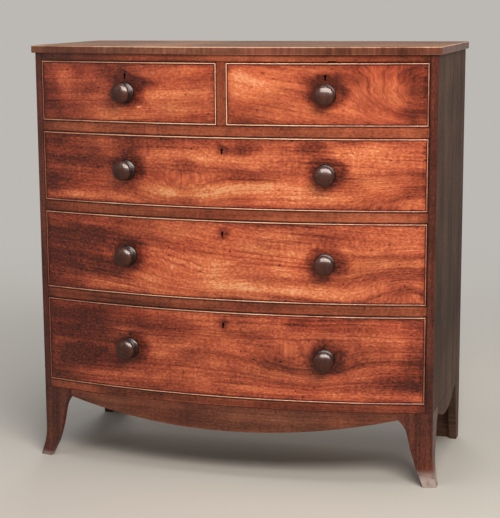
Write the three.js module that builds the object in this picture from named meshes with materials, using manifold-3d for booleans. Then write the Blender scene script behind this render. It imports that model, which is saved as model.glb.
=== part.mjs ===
// Bow front chest of drawers: two short drawers over three long ones, on bracket feet.
// Millimetres, +Z up. The front faces -Y and the drawers slide out along -Y.
// While it is built, y = 0 is the front corner of a side and z = 0 is the floor.
import * as THREE from 'three';
import { mergeVertices } from 'three/addons/utils/BufferGeometryUtils.js';
import Module from 'manifold-3d';

const wasm = await Module();
wasm.setup();

// Case
const caseWidth = 1000;
const sideDepth = 430;
const bowRise = 66;
const sideThickness = 19;
const topThickness = 18;
const topOverhang = 8;
const backThickness = 12;
const backLap = 9;
const bottomThickness = 16;

// Rails and boards between the drawers
const topRailHeight = 17.5;
const railHeight = 26.5;
const bottomRailHeight = 22;
const railBack = 42;
const dustThickness = 10;
const dividerWidth = 22;
const partitionThickness = 16;

// Drawer openings, from the top down
const shortOpening = 147;
const secondOpening = 171.5;
const thirdOpening = 195;
const bottomOpening = 213;

// Drawers
const sideClearance = 1;
const topClearance = 1.2;
const runClearance = 0.5;
const rearSpace = 18;
const frontThickness = 24;
const frontLap = 12;
const liningThickness = 10;
const liningDrop = 3;
const drawerBackThickness = 9;
const drawerBackDrop = 8;
const panelThickness = 6.5;
const grooveDepth = 5;
const grooveLift = 8;

// Cockbeads
const beadThickness = 3.2;
const beadProud = 2;
const beadDepth = 6;

// Knobs
const knobDiameter = 52;
const knobReach = 38;
const stemDiameter = 12;
const stemLength = 21;

// Keyholes
const keyDrop = 30;
const keyDiameter = 5.6;
const keySlotWidth = 3;
const keySlotLength = 9;

// Aprons and feet
const baseHeight = 180;
const bracketThickness = 20;
const apronEndHeight = 17;
const frontApronHeight = 63;
const sideApronHeight = 51;
const footFrontWidth = 80;
const footSideWidth = 75;
const rearFootWidth = 96;
const rearFootToeWidth = 68;
const footFlare = 12;
const blockSize = 24;

// Gap between cut or curved faces, and how far a cutter runs past what it cuts
const fitGap = 0.3;
const overrun = 5;

// Counts
const bowSteps = 24;
const apronSteps = 20;
const footSteps = 4;
const knobSides = 16;
const stemHoleSides = 12;
const keySides = 10;

// Turned outline of a knob: share of its radius, share of its reach
const knobOutlineShares = [
  [0.88, 0.03],
  [0.98, 0.075],
  [1, 0.125],
  [0.96, 0.18],
  [0.84, 0.225],
  [0.68, 0.28],
  [0.63, 0.35],
  [0.66, 0.43],
  [0.78, 0.52],
  [0.89, 0.6],
  [0.935, 0.68],
  [0.91, 0.77],
  [0.78, 0.87],
  [0.52, 0.95],
  [0.24, 0.985],
];

// Foot outline: share of the height below the apron's end, share of the width, share of the flare
const footLevelShares = [
  [1, 1, 0],
  [0.935, 0.89, 0],
  [0.865, 0.8, 0],
  [0.8, 0.755, 0],
  [0.66, 0.69, 0],
  [0.53, 0.635, 0],
  [0.42, 0.57, 0],
  [0.33, 0.515, 0.07],
  [0.25, 0.46, 0.2],
  [0.18, 0.4, 0.38],
  [0.11, 0.335, 0.6],
  [0.04, 0.27, 0.86],
  [0, 0.25, 1],
];

// Section of a cockbead: share of its thickness, share of how far it stands proud
const beadNoseShares = [
  [0, 0.4],
  [0.5, 1],
  [1, 0.4],
];

// Heights and places that follow from the sizes
const halfWidth = caseWidth / 2;
const openingEdge = halfWidth - sideThickness;
const dividerEdge = dividerWidth / 2;
const bowRadius = (halfWidth ** 2 + bowRise ** 2) / (2 * bowRise);
const bowCentre = bowRadius - bowRise;
const backFace = sideDepth - backThickness;
const bottomRailTop = baseHeight + bottomRailHeight;
const bottomOpeningTop = bottomRailTop + bottomOpening;
const thirdFloor = bottomOpeningTop + railHeight;
const thirdOpeningTop = thirdFloor + thirdOpening;
const secondFloor = thirdOpeningTop + railHeight;
const secondOpeningTop = secondFloor + secondOpening;
const shortFloor = secondOpeningTop + railHeight;
const shortOpeningTop = shortFloor + shortOpening;
const caseTop = shortOpeningTop + topRailHeight;
const curveTop = baseHeight - apronEndHeight;

// Colours
const caseWood = new THREE.Color(0.22, 0.1, 0.07);
const showWood = new THREE.Color(0.47, 0.2, 0.11);
const beadWood = new THREE.Color(0.55, 0.3, 0.2);
const knobWood = new THREE.Color(0.16, 0.08, 0.06);
const liningWood = new THREE.Color(0.62, 0.47, 0.3);

const chest = new THREE.Group();

// y of the bowed front at x, moved back into the wood by inset
function bowY(x, inset) {
  return bowCentre - Math.sqrt((bowRadius - inset) ** 2 - x * x);
}

// Places along the bow between two ends, on one grid that every piece shares
function bowStations(x0, x1) {
  const pitch = caseWidth / bowSteps;
  const places = [x0];
  for (let i = 0; i <= bowSteps; i++) {
    const x = i * pitch - halfWidth;
    if (x > x0 + fitGap && x < x1 - fitGap) {
      places.push(x);
    }
  }
  places.push(x1);
  return places;
}

function bowLine(x0, x1, inset) {
  return bowStations(x0, x1).map((x) => new THREE.Vector2(x, bowY(x, inset)));
}

// A flat outline in x and y, raised from z0 to z1
function prism(outline, z0, z1) {
  const shape = new THREE.Shape(outline);
  const geometry = new THREE.ExtrudeGeometry(shape, { depth: z1 - z0, bevelEnabled: false });
  return geometry.translate(0, 0, z0);
}

function box(x0, x1, y0, y1, z0, z1) {
  const geometry = new THREE.BoxGeometry(x1 - x0, y1 - y0, z1 - z0);
  return geometry.translate((x0 + x1) / 2, (y0 + y1) / 2, (z0 + z1) / 2);
}

// Triangles that fill an outline, each turned the way the outline runs
function capFaces(outline) {
  const way = THREE.ShapeUtils.area(outline);
  return THREE.ShapeUtils.triangulateShape(outline, []).map(([a, b, c]) => {
    const same = THREE.ShapeUtils.area([outline[a], outline[b], outline[c]]) * way > 0;
    return same ? [a, b, c] : [a, c, b];
  });
}

// Closed skin through rings of equally many points, with capped ends unless it closes on itself
function skin(rings, closed, flatten) {
  const count = rings[0].length;
  const positions = rings.flat().flatMap((p) => [p.x, p.y, p.z]);
  const faces = [];
  const spans = closed ? rings.length : rings.length - 1;
  for (let i = 0; i < spans; i++) {
    const a = i * count;
    const b = ((i + 1) % rings.length) * count;
    for (let j = 0; j < count; j++) {
      const k = (j + 1) % count;
      faces.push(a + j, b + j, b + k, a + j, b + k, a + k);
    }
  }
  if (!closed) {
    const last = (rings.length - 1) * count;
    const nearCap = capFaces(rings[0].map(flatten));
    const farCap = capFaces(rings[rings.length - 1].map(flatten));
    nearCap.forEach(([a, b, c]) => faces.push(a, b, c));
    farCap.forEach(([a, b, c]) => faces.push(last + a, last + c, last + b));
  }
  const geometry = new THREE.BufferGeometry();
  geometry.setAttribute('position', new THREE.Float32BufferAttribute(positions, 3));
  geometry.setIndex(faces);
  return facingOut(geometry);
}

function volumeOf(geometry) {
  const place = geometry.getAttribute('position');
  const index = geometry.getIndex();
  const a = new THREE.Vector3();
  const b = new THREE.Vector3();
  const c = new THREE.Vector3();
  let sum = 0;
  for (let i = 0; i < index.count; i += 3) {
    a.fromBufferAttribute(place, index.getX(i));
    b.fromBufferAttribute(place, index.getX(i + 1));
    c.fromBufferAttribute(place, index.getX(i + 2));
    sum += a.dot(b.cross(c)) / 6;
  }
  return sum;
}

function facingOut(geometry) {
  if (volumeOf(geometry) < 0) {
    const order = Array.from(geometry.getIndex().array);
    geometry.setIndex(order.reverse());
  }
  geometry.computeVertexNormals();
  return geometry;
}

// Joins and cuts
function toSolid(geometry) {
  const bare = geometry.clone();
  bare.deleteAttribute('normal');
  bare.deleteAttribute('uv');
  const merged = mergeVertices(bare);
  return new wasm.Manifold(new wasm.Mesh({
    numProp: 3,
    vertProperties: new Float32Array(merged.getAttribute('position').array),
    triVerts: new Uint32Array(merged.getIndex().array),
  }));
}

function toGeometry(solid) {
  const mesh = solid.getMesh();
  const geometry = new THREE.BufferGeometry();
  geometry.setAttribute('position', new THREE.Float32BufferAttribute(mesh.vertProperties, 3));
  geometry.setIndex(Array.from(mesh.triVerts));
  geometry.computeVertexNormals();
  return geometry;
}

function place(name, geometry, colour, roughness) {
  const material = new THREE.MeshStandardMaterial({ color: colour, roughness, metalness: 0 });
  material.flatShading = true;
  const mesh = new THREE.Mesh(geometry, material);
  mesh.name = name;
  chest.add(mesh);
  return mesh;
}

// Top board
function addTop() {
  const edge = halfWidth + topOverhang;
  const outline = bowLine(-edge, edge, -topOverhang);
  outline.push(new THREE.Vector2(edge, sideDepth), new THREE.Vector2(-edge, sideDepth));
  place('top', prism(outline, caseTop, caseTop + topThickness), showWood, 0.35);
}

// Sides, rebated at the rear for the back board
function addSide(name, hand) {
  const front = bowLine(openingEdge, halfWidth, 0);
  const outline = front.map((p) => new THREE.Vector2(hand * p.x, p.y));
  outline.push(new THREE.Vector2(hand * halfWidth, sideDepth));
  outline.push(new THREE.Vector2(hand * (openingEdge + backLap), sideDepth));
  outline.push(new THREE.Vector2(hand * (openingEdge + backLap), backFace));
  outline.push(new THREE.Vector2(hand * openingEdge, backFace));
  place(name, prism(outline, baseHeight, caseTop), caseWood, 0.4);
}

// Rail with a bowed front and a straight back
function addRail(name, z0, z1) {
  const outline = bowLine(-openingEdge, openingEdge, 0);
  outline.push(new THREE.Vector2(openingEdge, railBack), new THREE.Vector2(-openingEdge, railBack));
  place(name, prism(outline, z0, z1), caseWood, 0.4);
}

// Board on which a drawer runs, level with the rail in front of it
function addDustBoard(name, floor) {
  const board = box(-openingEdge, openingEdge, railBack, backFace, floor - dustThickness, floor);
  place(name, board, liningWood, 0.8);
}

function addDivider() {
  const outline = bowLine(-dividerEdge, dividerEdge, 0);
  outline.push(new THREE.Vector2(dividerEdge, railBack), new THREE.Vector2(-dividerEdge, railBack));
  place('divider', prism(outline, shortFloor, shortOpeningTop), caseWood, 0.4);
  const half = partitionThickness / 2;
  place('partition', box(-half, half, railBack, backFace, shortFloor, caseTop), liningWood, 0.8);
}

function addCase() {
  addTop();
  addSide('side_left', -1);
  addSide('side_right', 1);
  const backEdge = openingEdge + backLap;
  place('back', box(-backEdge, backEdge, backFace, sideDepth, baseHeight, caseTop), liningWood, 0.85);
  const floor = bottomRailTop;
  const bottom = box(-openingEdge, openingEdge, railBack, backFace, floor - bottomThickness, floor);
  place('case_bottom', bottom, liningWood, 0.85);
  addRail('top_rail', shortOpeningTop, caseTop);
  addRail('rail_upper', secondOpeningTop, shortFloor);
  addRail('rail_middle', thirdOpeningTop, secondFloor);
  addRail('rail_lower', bottomOpeningTop, thirdFloor);
  addRail('bottom_rail', baseHeight, bottomRailTop);
  addDustBoard('dust_board_upper', shortFloor);
  addDustBoard('dust_board_middle', secondFloor);
  addDustBoard('dust_board_lower', thirdFloor);
  addDivider();
}

// Height of an apron's lower edge at a share of the way from its middle to its end
function apronEdge(middleHeight, share) {
  return curveTop - (middleHeight - apronEndHeight) * (1 - share * share);
}

function addFrontApron() {
  const end = halfWidth - footFrontWidth;
  const rings = [];
  for (let i = 0; i <= apronSteps; i++) {
    const share = (2 * i) / apronSteps - 1;
    const x = share * end;
    const low = apronEdge(frontApronHeight, share);
    const front = bowY(x, 0);
    const rear = bowY(x, bracketThickness);
    rings.push([
      new THREE.Vector3(x, front, low),
      new THREE.Vector3(x, front, baseHeight),
      new THREE.Vector3(x, rear, baseHeight),
      new THREE.Vector3(x, rear, low),
    ]);
  }
  place('apron_front', skin(rings, false, (p) => new THREE.Vector2(p.y, p.z)), caseWood, 0.4);
}

function addSideApron(name, hand) {
  const y0 = footSideWidth;
  const y1 = sideDepth - footSideWidth;
  const outer = hand * halfWidth;
  const inner = hand * (halfWidth - bracketThickness);
  const rings = [];
  for (let i = 0; i <= apronSteps; i++) {
    const share = (2 * i) / apronSteps - 1;
    const y = (y0 + y1) / 2 + (share * (y1 - y0)) / 2;
    const low = apronEdge(sideApronHeight, share);
    rings.push([
      new THREE.Vector3(outer, y, low),
      new THREE.Vector3(outer, y, baseHeight),
      new THREE.Vector3(inner, y, baseHeight),
      new THREE.Vector3(inner, y, low),
    ]);
  }
  place(name, skin(rings, false, (p) => new THREE.Vector2(p.x, p.z)), caseWood, 0.4);
}

// One level of a front foot: the outside from the rear round the corner to the inner end, then back inside
function frontFootRing(hand, z, width, depth, flare, block) {
  const outerSide = halfWidth + flare;
  const innerSide = outerSide - bracketThickness;
  const inset = bracketThickness - flare;
  const tip = halfWidth - width;
  const ring = [new THREE.Vector3(hand * outerSide, depth, z)];
  for (let i = 0; i <= footSteps; i++) {
    const x = outerSide + ((tip - outerSide) * i) / footSteps;
    ring.push(new THREE.Vector3(hand * x, bowY(x, -flare), z));
  }
  ring.push(new THREE.Vector3(hand * tip, bowY(tip, inset), z));
  ring.push(new THREE.Vector3(hand * (innerSide - block), bowY(innerSide - block, inset), z));
  ring.push(new THREE.Vector3(hand * innerSide, bowY(innerSide, inset) + block, z));
  ring.push(new THREE.Vector3(hand * innerSide, depth, z));
  return ring;
}

function addFrontFoot(name, hand) {
  const rings = footLevelShares.map(([up, share, out]) => frontFootRing(
    hand,
    up * curveTop,
    share * footFrontWidth,
    share * footSideWidth,
    out * footFlare,
    share * blockSize,
  ));
  rings.unshift(frontFootRing(hand, baseHeight, footFrontWidth, footSideWidth, 0, blockSize));
  place(name, skin(rings, false, (p) => new THREE.Vector2(p.x, p.y)), caseWood, 0.4);
}

// One level of a rear foot: a shaped side bracket and a plain straight bracket across the back
function rearFootRing(hand, z, width, depth, block) {
  const inner = halfWidth - bracketThickness;
  const face = sideDepth - bracketThickness;
  const outline = [
    [halfWidth, sideDepth - depth],
    [halfWidth, sideDepth],
    [halfWidth - width, sideDepth],
    [halfWidth - width, face],
    [inner - block, face],
    [inner, face - block],
    [inner, sideDepth - depth],
  ];
  return outline.map(([x, y]) => new THREE.Vector3(hand * x, y, z));
}

function addRearFoot(name, hand) {
  const rings = [rearFootRing(hand, baseHeight, rearFootWidth, footSideWidth, blockSize)];
  footLevelShares.forEach(([up, share]) => {
    const z = up * curveTop;
    const width = rearFootToeWidth + ((rearFootWidth - rearFootToeWidth) * z) / baseHeight;
    const depth = bracketThickness + share * (footSideWidth - bracketThickness);
    rings.push(rearFootRing(hand, z, width, depth, share * blockSize / 2));
  });
  place(name, skin(rings, false, (p) => new THREE.Vector2(p.x, p.y)), caseWood, 0.4);
}

function addBase() {
  addFrontApron();
  addSideApron('apron_left', -1);
  addSideApron('apron_right', 1);
  addFrontFoot('foot_front_left', -1);
  addFrontFoot('foot_front_right', 1);
  addRearFoot('foot_rear_left', -1);
  addRearFoot('foot_rear_right', 1);
}

// Band of wood that follows the bow between two depths
function bowBand(x0, x1, near, far, z0, z1) {
  const outline = bowLine(x0, x1, near);
  outline.push(...bowLine(x0, x1, far).reverse());
  return prism(outline, z0, z1);
}

// Hole for a knob's stem, square to the bow
function stemHole(x, z) {
  const radius = stemDiameter / 2 + fitGap;
  const length = frontThickness + 2 * overrun;
  const hole = new THREE.CylinderGeometry(radius, radius, length, stemHoleSides);
  hole.translate(0, -frontThickness / 2, 0);
  hole.rotateZ(knobTurn(x));
  return toSolid(hole.translate(x, bowY(x, 0), z));
}

// Turn about z that points a lathe's axis out of the bow at x
function knobTurn(x) {
  return Math.atan2(-x / bowRadius, -Math.sqrt(1 - (x / bowRadius) ** 2));
}

// Keyhole: a round hole over a slot, through the front
function keyhole(x, z) {
  const front = bowY(x, 0) - overrun;
  const rear = bowY(x, frontThickness) + overrun;
  const bore = new THREE.CylinderGeometry(keyDiameter / 2, keyDiameter / 2, rear - front, keySides);
  bore.translate(x, (front + rear) / 2, z);
  const half = keySlotWidth / 2;
  const slot = box(x - half, x + half, front, rear, z - keySlotLength, z);
  return toSolid(bore).add(toSolid(slot));
}

// Sizes that one drawer's pieces share
function drawerPlan(x0, x1, floor, ceiling) {
  const left = x0 + sideClearance;
  const right = x1 - sideClearance;
  const low = floor + runClearance;
  const high = ceiling - topClearance;
  return {
    left,
    right,
    low,
    high,
    seatLeft: bowY(left, 0) + frontLap,
    seatRight: bowY(right, 0) + frontLap,
    liningTop: high - liningDrop,
    grooveLow: low + grooveLift,
    grooveHigh: low + grooveLift + panelThickness + 2 * fitGap,
    rear: backFace - rearSpace,
  };
}

function addDrawerFront(name, plan, knobXs, keyX) {
  const margin = beadThickness + fitGap;
  const floor = beadDepth + fitGap;
  const slab = bowBand(plan.left, plan.right, floor, frontThickness, plan.low, plan.high);
  const field = bowBand(
    plan.left + margin,
    plan.right - margin,
    0,
    floor + overrun,
    plan.low + margin,
    plan.high - margin,
  );
  const inside = liningThickness + fitGap;
  const top = plan.liningTop + fitGap;
  const rear = Math.max(bowY(plan.left, frontThickness), bowY(plan.right, frontThickness)) + overrun;
  const base = plan.low - overrun;
  const lapLeft = box(plan.left - overrun, plan.left + inside, plan.seatLeft, rear, base, top);
  const lapRight = box(plan.right - inside, plan.right + overrun, plan.seatRight, rear, base, top);
  const groove = bowBand(
    plan.left + inside,
    plan.right - inside,
    frontThickness - grooveDepth,
    frontThickness + overrun,
    plan.grooveLow,
    plan.grooveHigh,
  );
  let solid = toSolid(slab).add(toSolid(field));
  solid = solid.subtract(toSolid(lapLeft)).subtract(toSolid(lapRight)).subtract(toSolid(groove));
  knobXs.forEach((x) => {
    solid = solid.subtract(stemHole(x, (plan.low + plan.high) / 2));
  });
  solid = solid.subtract(keyhole(keyX, plan.high - keyDrop));
  place(name, toGeometry(solid), showWood, 0.3);
}

// Drawer side with the groove that holds the bottom board; inward is 1 when the groove faces +X
function addLining(name, plan, outer, seat, inward) {
  const inner = outer + inward * liningThickness;
  const cut = inner - inward * grooveDepth;
  const outline = [
    [outer, plan.low],
    [inner, plan.low],
    [inner, plan.grooveLow],
    [cut, plan.grooveLow],
    [cut, plan.grooveHigh],
    [inner, plan.grooveHigh],
    [inner, plan.liningTop],
    [outer, plan.liningTop],
  ];
  const near = outline.map(([x, z]) => new THREE.Vector3(x, seat + fitGap, z));
  const far = outline.map(([x, z]) => new THREE.Vector3(x, plan.rear, z));
  place(name, skin([near, far], false, (p) => new THREE.Vector2(p.x, p.z)), liningWood, 0.8);
}

function addDrawerBack(name, plan) {
  const low = plan.grooveHigh;
  const back = box(
    plan.left + liningThickness,
    plan.right - liningThickness,
    plan.rear - drawerBackThickness,
    plan.rear,
    low,
    plan.liningTop - drawerBackDrop,
  );
  place(name, back, liningWood, 0.8);
}

function addDrawerBottom(name, plan) {
  const reach = liningThickness - grooveDepth + fitGap;
  const inside = liningThickness + 2 * fitGap;
  const inset = frontThickness - grooveDepth + fitGap;
  const left = plan.left + reach;
  const right = plan.right - reach;
  const shoulderLeft = bowY(plan.left + inside, frontThickness) + fitGap;
  const shoulderRight = bowY(plan.right - inside, frontThickness) + fitGap;
  const outline = bowLine(plan.left + inside, plan.right - inside, inset);
  outline.push(new THREE.Vector2(plan.right - inside, shoulderRight));
  outline.push(new THREE.Vector2(right, shoulderRight));
  outline.push(new THREE.Vector2(right, plan.rear));
  outline.push(new THREE.Vector2(left, plan.rear));
  outline.push(new THREE.Vector2(left, shoulderLeft));
  outline.push(new THREE.Vector2(plan.left + inside, shoulderLeft));
  const low = plan.grooveLow + fitGap;
  place(name, prism(outline, low, low + panelThickness), liningWood, 0.8);
}

// Cockbead frame: one section swept round the drawer front with mitred corners
function addBead(name, plan) {
  const section = beadNoseShares.map(([across, out]) => [across * beadThickness, out * beadProud]);
  section.push([beadThickness, -beadDepth], [0, -beadDepth]);
  const middle = (plan.left + plan.right) / 2;
  const half = (plan.right - plan.left) / 2;
  const ring = (x, high) => section.map(([across, out]) => {
    const px = middle + ((x - middle) * (half - across)) / half;
    return new THREE.Vector3(px, bowY(px, -out), high ? plan.high - across : plan.low + across);
  });
  const stations = bowStations(plan.left, plan.right);
  const rings = stations.map((x) => ring(x, true));
  rings.push(...stations.reverse().map((x) => ring(x, false)));
  place(name, skin(rings, true), beadWood, 0.35);
}

function addKnob(name, x, z) {
  const radius = knobDiameter / 2;
  const outline = [
    new THREE.Vector2(0, -stemLength),
    new THREE.Vector2(stemDiameter / 2, -stemLength),
    new THREE.Vector2(stemDiameter / 2, fitGap),
    new THREE.Vector2(knobOutlineShares[0][0] * radius, fitGap),
  ];
  knobOutlineShares.forEach(([out, up]) => outline.push(new THREE.Vector2(out * radius, up * knobReach)));
  outline.push(new THREE.Vector2(0, knobReach));
  const mesh = place(name, new THREE.LatheGeometry(outline, knobSides), knobWood, 0.3);
  mesh.position.set(x, bowY(x, 0), z);
  mesh.rotation.z = knobTurn(x);
}

function addDrawer(name, x0, x1, floor, ceiling, knobXs, keyX) {
  const plan = drawerPlan(x0, x1, floor, ceiling);
  addDrawerFront(`${name}_front`, plan, knobXs, keyX);
  addLining(`${name}_side_left`, plan, plan.left, plan.seatLeft, 1);
  addLining(`${name}_side_right`, plan, plan.right, plan.seatRight, -1);
  addDrawerBack(`${name}_back`, plan);
  addDrawerBottom(`${name}_bottom`, plan);
  addBead(`${name}_bead`, plan);
  const hands = knobXs.length > 1 ? ['_left', '_right'] : [''];
  knobXs.forEach((x, i) => addKnob(`${name}_knob${hands[i]}`, x, (plan.low + plan.high) / 2));
}

function addDrawers() {
  const spread = (dividerEdge + openingEdge) / 2;
  addDrawer('drawer_top_left', -openingEdge, -dividerEdge, shortFloor, shortOpeningTop, [-spread], -spread);
  addDrawer('drawer_top_right', dividerEdge, openingEdge, shortFloor, shortOpeningTop, [spread], spread);
  const pair = [-spread, spread];
  addDrawer('drawer_second', -openingEdge, openingEdge, secondFloor, secondOpeningTop, pair, 0);
  addDrawer('drawer_third', -openingEdge, openingEdge, thirdFloor, thirdOpeningTop, pair, 0);
  addDrawer('drawer_bottom', -openingEdge, openingEdge, bottomRailTop, bottomOpeningTop, pair, 0);
}

addCase();
addBase();
addDrawers();

// The origin is on the floor, in the middle of the box round the whole chest
const bounds = new THREE.Box3().setFromObject(chest, true);
const group = new THREE.Group();
group.add(chest);
chest.position.y = -(bounds.min.y + bounds.max.y) / 2;

export default group;
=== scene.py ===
# %% [markdown]
# # A bow front chest of drawers
#
# The object is a mahogany chest with a bowed front: two short drawers over three long ones, a thin
# cockbead round every drawer, turned bun knobs, a shaped apron and bracket feet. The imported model
# gives the sizes and what moves. This lesson gives it finer shapes and old polished wood.

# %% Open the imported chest
import math

import bmesh
import bpy
from mathutils import Matrix, Vector


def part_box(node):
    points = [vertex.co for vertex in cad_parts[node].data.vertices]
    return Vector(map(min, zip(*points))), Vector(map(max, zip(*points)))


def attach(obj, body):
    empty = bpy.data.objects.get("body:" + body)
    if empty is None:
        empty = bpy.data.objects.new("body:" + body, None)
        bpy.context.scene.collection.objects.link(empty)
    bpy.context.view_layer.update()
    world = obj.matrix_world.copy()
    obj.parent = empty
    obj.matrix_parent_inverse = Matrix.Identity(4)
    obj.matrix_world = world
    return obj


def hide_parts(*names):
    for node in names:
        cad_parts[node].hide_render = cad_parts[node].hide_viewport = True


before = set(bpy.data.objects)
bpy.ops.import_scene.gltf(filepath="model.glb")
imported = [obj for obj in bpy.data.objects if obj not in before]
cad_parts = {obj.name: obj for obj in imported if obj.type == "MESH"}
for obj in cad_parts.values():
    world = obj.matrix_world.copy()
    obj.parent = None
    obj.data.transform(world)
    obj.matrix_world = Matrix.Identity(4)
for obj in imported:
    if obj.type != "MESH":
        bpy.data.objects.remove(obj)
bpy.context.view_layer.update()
MM = 0.001

# %% [markdown]
# ## The camera
#
# A camera can be placed by eye, but this one was fitted to the chest's straight lines and curves in
# the photograph. That gave where it stood, which way it looked and how long its lens was. Blender
# takes a camera's pose as three directions, which are right, up and backwards, and a place.

# %% Camera of the photograph
CAMERA_PLACE = (1.0270, -3.4997, 1.1509)
CAMERA_TURNS = (16.373, 10.089, -0.328)  # to the left, downwards and sideways, in degrees
LENS = 101.26  # mm, on a film of 36 mm
turn_left, look_down, roll = (math.radians(a) for a in CAMERA_TURNS)
ahead = Vector((-math.sin(turn_left) * math.cos(look_down),
                math.cos(turn_left) * math.cos(look_down), -math.sin(look_down)))
level = Vector((math.cos(turn_left), math.sin(turn_left), 0))
upright = level.cross(ahead)
right = level * math.cos(roll) + upright * math.sin(roll)
up = upright * math.cos(roll) - level * math.sin(roll)

camera_data = bpy.data.cameras.new("camera")
camera_data.lens = LENS
camera_data.sensor_width = 36
camera = bpy.data.objects.new("camera", camera_data)
camera.matrix_world = Matrix((right, up, -ahead)).transposed().to_4x4()
camera.location = CAMERA_PLACE
bpy.context.collection.objects.link(camera)
bpy.context.scene.camera = camera
print("the camera stands", round((camera.location - Vector((0, 0, 0.5))).length, 2), "m away")

# %% [markdown]
# ## Floor, lamps and world
#
# Polished wood is shown by what it mirrors, so the lamps are large and soft. The main one stands in
# front, above and to the right, so the light falls off to the left and downwards. A broad one shows
# in the polish of the knobs and beads alone, and gives their glints. The world is a pale grey room,
# and the plain floor fades into its colour with distance, so no horizon cuts the picture. A picture
# of a room could light the chest too, but plain lamps are easier to reason about and to change.

# %% Colours are written as a screen shows them
def tint(red, green, blue):
    """A screen colour, 0 to 255, as the linear colour that Blender wants."""
    def linear(v):
        v /= 255
        return v / 12.92 if v <= 0.04045 else ((v + 0.055) / 1.055) ** 2.4
    return (linear(red), linear(green), linear(blue), 1.0)


ROOM_GREY = tint(188, 185, 180)


# %% Rays that look at the room
def looking_rays(tree):
    """1 for the rays of the eye and of mirrored or clear surfaces, 0 for those that only light."""
    rays = tree.nodes.new("ShaderNodeLightPath")
    looking = rays.outputs["Is Camera Ray"]
    for kind in ("Is Glossy Ray", "Is Transmission Ray"):
        either = tree.nodes.new("ShaderNodeMath")
        either.operation = "MAXIMUM"
        tree.links.new(looking, either.inputs[0])
        tree.links.new(rays.outputs[kind], either.inputs[1])
        looking = either.outputs[0]
    return looking


# %% World
ROOM_STRENGTH = 0.26
scene = bpy.context.scene
scene.view_settings.view_transform = "Standard"
world = bpy.data.worlds.new("room")
world.use_nodes = True
scene.world = world
room = world.node_tree
room_light = room.nodes["Background"]
room_light.inputs["Color"].default_value = tint(238, 238, 242)
room_light.inputs["Strength"].default_value = ROOM_STRENGTH
room_seen = room.nodes.new("ShaderNodeBackground")
room_seen.inputs["Color"].default_value = ROOM_GREY
chosen = room.nodes.new("ShaderNodeMixShader")
room.links.new(looking_rays(room), chosen.inputs[0])
room.links.new(room_light.outputs[0], chosen.inputs[1])
room.links.new(room_seen.outputs[0], chosen.inputs[2])
room.links.new(chosen.outputs[0], room.nodes["World Output"].inputs["Surface"])
print("the room lights everything from all round at", ROOM_STRENGTH)

# %% Floor
FLOOR_HALF = 40
FADE = (0.9, 3.6)  # how far from the middle the floor starts to take the room's colour, and has it
floor_shape = bmesh.new()
bmesh.ops.create_grid(floor_shape, x_segments=1, y_segments=1, size=FLOOR_HALF)
floor_mesh = bpy.data.meshes.new("floor")
floor_shape.to_mesh(floor_mesh)
floor_shape.free()
floor = bpy.data.objects.new("floor", floor_mesh)
bpy.context.collection.objects.link(floor)
floor_paint = bpy.data.materials.new("floor_paint")
floor_paint.use_nodes = True
paint = floor_paint.node_tree
paint.nodes["Principled BSDF"].inputs["Base Color"].default_value = tint(214, 209, 200)
paint.nodes["Principled BSDF"].inputs["Roughness"].default_value = 0.9
paint.nodes["Principled BSDF"].inputs["Specular IOR Level"].default_value = 0.1
glow = paint.nodes.new("ShaderNodeEmission")
glow.inputs["Color"].default_value = ROOM_GREY
place = paint.nodes.new("ShaderNodeTexCoord").outputs["Object"]
away = paint.nodes.new("ShaderNodeVectorMath")
away.operation = "LENGTH"
fade = paint.nodes.new("ShaderNodeMapRange")
fade.interpolation_type = "SMOOTHSTEP"
fade.inputs["From Min"].default_value, fade.inputs["From Max"].default_value = FADE
both = paint.nodes.new("ShaderNodeMath")
both.operation = "MULTIPLY"
cover = paint.nodes.new("ShaderNodeMixShader")
paint.links.new(place, away.inputs[0])
paint.links.new(away.outputs["Value"], fade.inputs["Value"])
paint.links.new(fade.outputs[0], both.inputs[0])
paint.links.new(looking_rays(paint), both.inputs[1])
paint.links.new(both.outputs[0], cover.inputs[0])
paint.links.new(paint.nodes["Principled BSDF"].outputs[0], cover.inputs[1])
paint.links.new(glow.outputs[0], cover.inputs[2])
paint.links.new(cover.outputs[0], paint.nodes["Material Output"].inputs["Surface"])
floor_mesh.materials.append(floor_paint)
print("a floor", 2 * FLOOR_HALF, "m wide fades out", FADE[0], "to", FADE[1], "m from the middle")


# %% Lamps
def softbox(name, place, aim, wide, tall, watts, colour=(255, 255, 255), lights=True,
            shines=True):
    """A rectangular studio lamp that looks from place towards aim."""
    data = bpy.data.lights.new(name, "AREA")
    data.shape = "RECTANGLE"
    data.size, data.size_y = wide, tall
    data.energy = watts
    data.color = tint(*colour)[:3]
    lamp = bpy.data.objects.new(name, data)
    lamp.location = place
    lamp.rotation_euler = (Vector(aim) - Vector(place)).to_track_quat("-Z", "Y").to_euler()
    lamp.visible_diffuse = lights
    lamp.visible_glossy = shines
    bpy.context.collection.objects.link(lamp)
    return lamp


softbox("main_lamp", (1.2, -2.0, 2.3), (0.1, -0.2, 0.7), 1.5, 1.1, 62, (255, 249, 241),
        shines=False)
glint_lamp = softbox("glint_lamp", (1.25, -2.2, 2.6), (0.1, -0.2, 0.6), 4.6, 2.1, 900,
                     (255, 250, 244), lights=False)
softbox("top_lamp", (0.2, -0.5, 3.4), (0, 0, 1.0), 1.6, 1.2, 22)
softbox("left_lamp", (-2.6, -2.6, 1.6), (0, 0, 0.5), 1.6, 1.6, 6)
softbox("back_lamp", (-0.8, 3.6, 2.6), (0, 0, 0.5), 2.0, 1.6, 44, shines=False)

# %% [markdown]
# ## The bow
#
# Every front part follows one arc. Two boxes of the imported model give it: the side's front edge and
# the middle of a rail. The boards and beads of the front could be drawn on the arc at once, but flat
# shapes are easier to cut and to inset. So each is first made flat, with y as the depth behind the
# face. It is then cut into narrow upright strips, and bent.

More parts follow.
